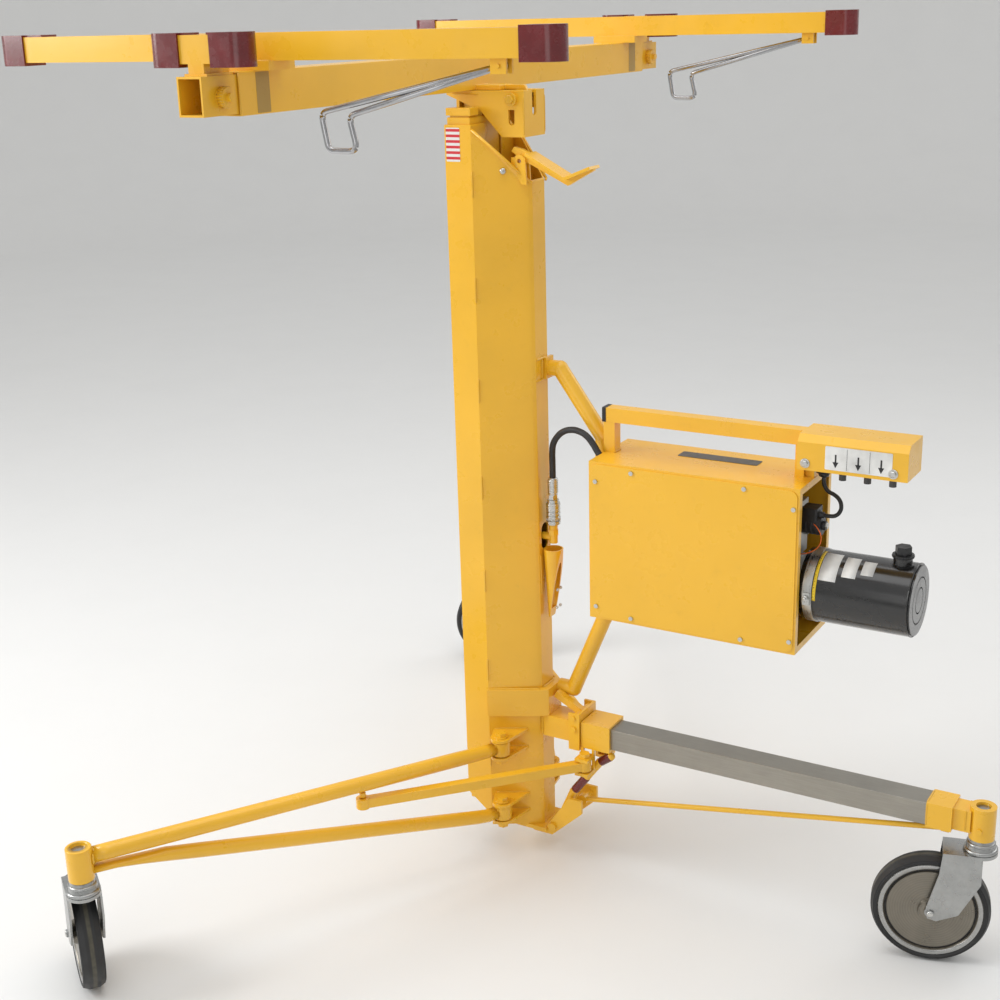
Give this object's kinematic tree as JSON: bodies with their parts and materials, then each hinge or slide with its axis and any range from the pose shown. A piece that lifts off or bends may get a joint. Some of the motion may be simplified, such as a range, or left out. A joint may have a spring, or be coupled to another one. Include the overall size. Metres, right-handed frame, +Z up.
{
  "type": "drywall lift",
  "caption": "Powered drywall lift: telescoping mast on a folding caster tripod, tilting cradle with end outriggers, hooks, side-mounted hydraulic unit.",
  "frame": {"origin": "on the floor, under the middle of the lift's footprint (bounding box, without the hose and control cable)", "axes": "+Z up; +X from the mast towards the rear caster and the operator; +Y along the crossbeam"},
  "size_m": [1.537, 1.6722, 1.595],
  "materials": {
    "yellow_paint": "semi-gloss yellow enamel",
    "bare_steel": "bare drawn steel",
    "zinc": "bright zinc plate",
    "wheel_grey": "grey wheel centre",
    "tyre_black": "black rubber tread",
    "chrome_wire": "bright plated wire",
    "maroon_cap": "dark maroon moulded cap",
    "hose_rubber": "black hose cover",
    "cable_black": "black cable jacket",
    "tank_black": "gloss black paint",
    "cap_black": "black moulding",
    "motor_grey": "dark grey paint",
    "cast_block": "as cast",
    "fastener_steel": "zinc fasteners",
    "coupler_steel": "plated steel",
    "barrel_paint": "dark paint",
    "rod_chrome": "hard chrome",
    "button_grey": "dark buttons"
  },
  "bodies": {
    "root": {"mast_channel": "yellow_paint", "cylinder_housing": "yellow_paint", "base_collar": "yellow_paint", "mast_foot": "yellow_paint", "leg_hinge_pins": "yellow_paint", "rear_leg_root": "yellow_paint", "rear_leg_tube": "bare_steel", "rear_leg_end": "yellow_paint", "tie_rod": "yellow_paint", "cylinder_barrel": "barrel_paint", "feed_fitting": "yellow_paint", "coupler_guard": "yellow_paint", "quick_coupler": "coupler_steel", "hydraulic_hose": "hose_rubber", "case_arms": "yellow_paint", "case_shell": "yellow_paint", "front_cover": "yellow_paint", "cover_screws": "fastener_steel", "carry_handle": "yellow_paint", "control_head": "yellow_paint", "control_cable": "cable_black", "motor": "motor_grey", "pump_block": "cast_block", "solenoid_valve": "cap_black", "oil_tank": "tank_black", "filler_cap": "cap_black", "tank_strap": "fastener_steel"},
    "top_latch": {"top_latch": "yellow_paint"},
    "foot_latch": {"foot_latch": "yellow_paint"},
    "middle": {"middle_section": "yellow_paint", "cylinder_rod": "rod_chrome"},
    "lift_sheave": {"lift_sheave": "fastener_steel"},
    "inner": {"inner_section": "yellow_paint"},
    "head": {"head_block": "yellow_paint"},
    "cradle": {"crossbeam": "yellow_paint", "cross_arms": "yellow_paint", "arm_caps": "maroon_cap"},
    "near_outrigger": {"near_outrigger": "yellow_paint", "near_outrigger_caps": "maroon_cap"},
    "far_outrigger": {"far_outrigger": "yellow_paint", "far_outrigger_caps": "maroon_cap"},
    "near_hook": {"near_hook": "chrome_wire"},
    "far_hook": {"far_hook": "chrome_wire"},
    "near_leg": {"near_leg": "yellow_paint"},
    "far_leg": {"far_leg": "yellow_paint"},
    "leg_sleeve": {"leg_sleeve": "yellow_paint"},
    "near_link": {"near_link": "yellow_paint"},
    "far_link": {"far_link": "yellow_paint"},
    "rear_swivel": {"rear_fork": "zinc"},
    "rear_roller": {"rear_wheel": "wheel_grey", "rear_tyre": "tyre_black"},
    "near_swivel": {"near_fork": "zinc"},
    "near_roller": {"near_wheel": "wheel_grey", "near_tyre": "tyre_black"},
    "far_swivel": {"far_fork": "zinc"},
    "far_roller": {"far_wheel": "wheel_grey", "far_tyre": "tyre_black"},
    "raise_button": {"raise_button": "button_grey"},
    "slow_button": {"slow_button": "button_grey"},
    "lower_button": {"lower_button": "button_grey"}
  },
  "joints": [
    {"name": "mast_raise", "type": "slide", "parent": "root", "child": "middle", "axis": [0, 0, 1], "range_m": [0, 1]},
    {"name": "inner_raise", "type": "slide", "parent": "middle", "child": "inner", "axis": [0, 0, 1], "range_m": [0, 1]},
    {"name": "sheave_spin", "type": "hinge", "parent": "middle", "child": "lift_sheave", "pos_m": [-0.17045, 0.01724, 1.24], "axis": [0, 1, 0], "continuous": true},
    {"name": "side_tilt", "type": "hinge", "parent": "inner", "child": "head", "pos_m": [-0.21845, 0.01724, 1.455], "axis": [1, 0, 0], "range_deg": [-10, 10]},
    {"name": "cradle_tilt", "type": "hinge", "parent": "head", "child": "cradle", "pos_m": [-0.13045, 0.01724, 1.466], "axis": [0, 1, 0], "range_deg": [0, 65]},
    {"name": "near_extend", "type": "slide", "parent": "cradle", "child": "near_outrigger", "axis": [0, -1, 0], "range_m": [0, 0.4]},
    {"name": "far_extend", "type": "slide", "parent": "cradle", "child": "far_outrigger", "axis": [0, 1, 0], "range_m": [0, 0.4]},
    {"name": "near_hook_swing", "type": "hinge", "parent": "cradle", "child": "near_hook", "pos_m": [0.17655, -0.57876, 1.544], "axis": [0, -1, 0], "range_deg": [0, 165]},
    {"name": "far_hook_swing", "type": "hinge", "parent": "cradle", "child": "far_hook", "pos_m": [0.17655, 0.61325, 1.544], "axis": [0, -1, 0], "range_deg": [0, 165]},
    {"name": "near_leg_fold", "type": "hinge", "parent": "root", "child": "near_leg", "pos_m": [-0.15445, -0.08075, 0.25], "axis": [0, 0, 1], "range_deg": [0, 100]},
    {"name": "far_leg_fold", "type": "hinge", "parent": "root", "child": "far_leg", "pos_m": [-0.15445, 0.11525, 0.25], "axis": [0, 0, -1], "range_deg": [0, 106.3]},
    {"name": "sleeve_slide", "type": "slide", "parent": "root", "child": "leg_sleeve", "axis": [1, 0, 0], "range_m": [0, 0.5397]},
    {"name": "near_link_swing", "type": "hinge", "parent": "leg_sleeve", "child": "near_link", "pos_m": [0.00055, -0.02775, 0.224], "axis": [0, 0, -1], "range_deg": [0, 27.09]},
    {"name": "far_link_swing", "type": "hinge", "parent": "leg_sleeve", "child": "far_link", "pos_m": [0.00055, 0.06225, 0.224], "axis": [0, 0, 1], "range_deg": [0, 25.14]},
    {"name": "rear_swivel_turn", "type": "hinge", "parent": "root", "child": "rear_swivel", "pos_m": [0.73955, 0.01724, 0.275], "axis": [0, 0, 1], "continuous": true},
    {"name": "rear_wheel_spin", "type": "hinge", "parent": "rear_swivel", "child": "rear_roller", "pos_m": [0.66614, -0.00243, 0.1016], "axis": [0.2588, -0.9659, 0], "continuous": true},
    {"name": "near_swivel_turn", "type": "hinge", "parent": "near_leg", "child": "near_swivel", "pos_m": [-0.54558, -0.80715, 0.275], "axis": [0, 0, 1], "continuous": true},
    {"name": "near_wheel_spin", "type": "hinge", "parent": "near_swivel", "child": "near_roller", "pos_m": [-0.60627, -0.76141, 0.1016], "axis": [-0.6018, -0.7986, 0], "continuous": true},
    {"name": "far_swivel_turn", "type": "hinge", "parent": "far_leg", "child": "far_swivel", "pos_m": [-0.60378, 0.80715, 0.275], "axis": [0, 0, 1], "continuous": true},
    {"name": "far_wheel_spin", "type": "hinge", "parent": "far_swivel", "child": "far_roller", "pos_m": [-0.67266, 0.77503, 0.1016], "axis": [0.4226, -0.9063, 0], "continuous": true},
    {"name": "raise_press", "type": "slide", "parent": "root", "child": "raise_button", "axis": [0, 0, 1], "range_m": [0, 0.004], "stiffness_N_per_m": 300, "springref_m": -0.003},
    {"name": "slow_press", "type": "slide", "parent": "root", "child": "slow_button", "axis": [0, 0, 1], "range_m": [0, 0.004], "stiffness_N_per_m": 300, "springref_m": -0.003},
    {"name": "lower_press", "type": "slide", "parent": "root", "child": "lower_button", "axis": [0, 0, 1], "range_m": [0, 0.004], "stiffness_N_per_m": 300, "springref_m": -0.003},
    {"name": "top_latch_lift", "type": "hinge", "parent": "root", "child": "top_latch", "pos_m": [-0.11845, -0.01276, 1.362], "axis": [0, 1, 0], "range_deg": [-20, 0]},
    {"name": "foot_latch_drop", "type": "hinge", "parent": "root", "child": "foot_latch", "pos_m": [-0.07645, -0.00076, 0.066], "axis": [0, 1, 0], "range_deg": [0, 35]}
  ],
  "couplings": [
    {"joint": "inner_raise", "follows": "mast_raise", "ratio": 1},
    {"joint": "far_leg_fold", "follows": "near_leg_fold", "ratio": 1.0629},
    {"joint": "sleeve_slide", "follows": "near_leg_fold", "m_per_rad": 0.30909},
    {"joint": "near_link_swing", "follows": "near_leg_fold", "ratio": 0.27075},
    {"joint": "far_link_swing", "follows": "near_leg_fold", "ratio": 0.2512}
  ]
}
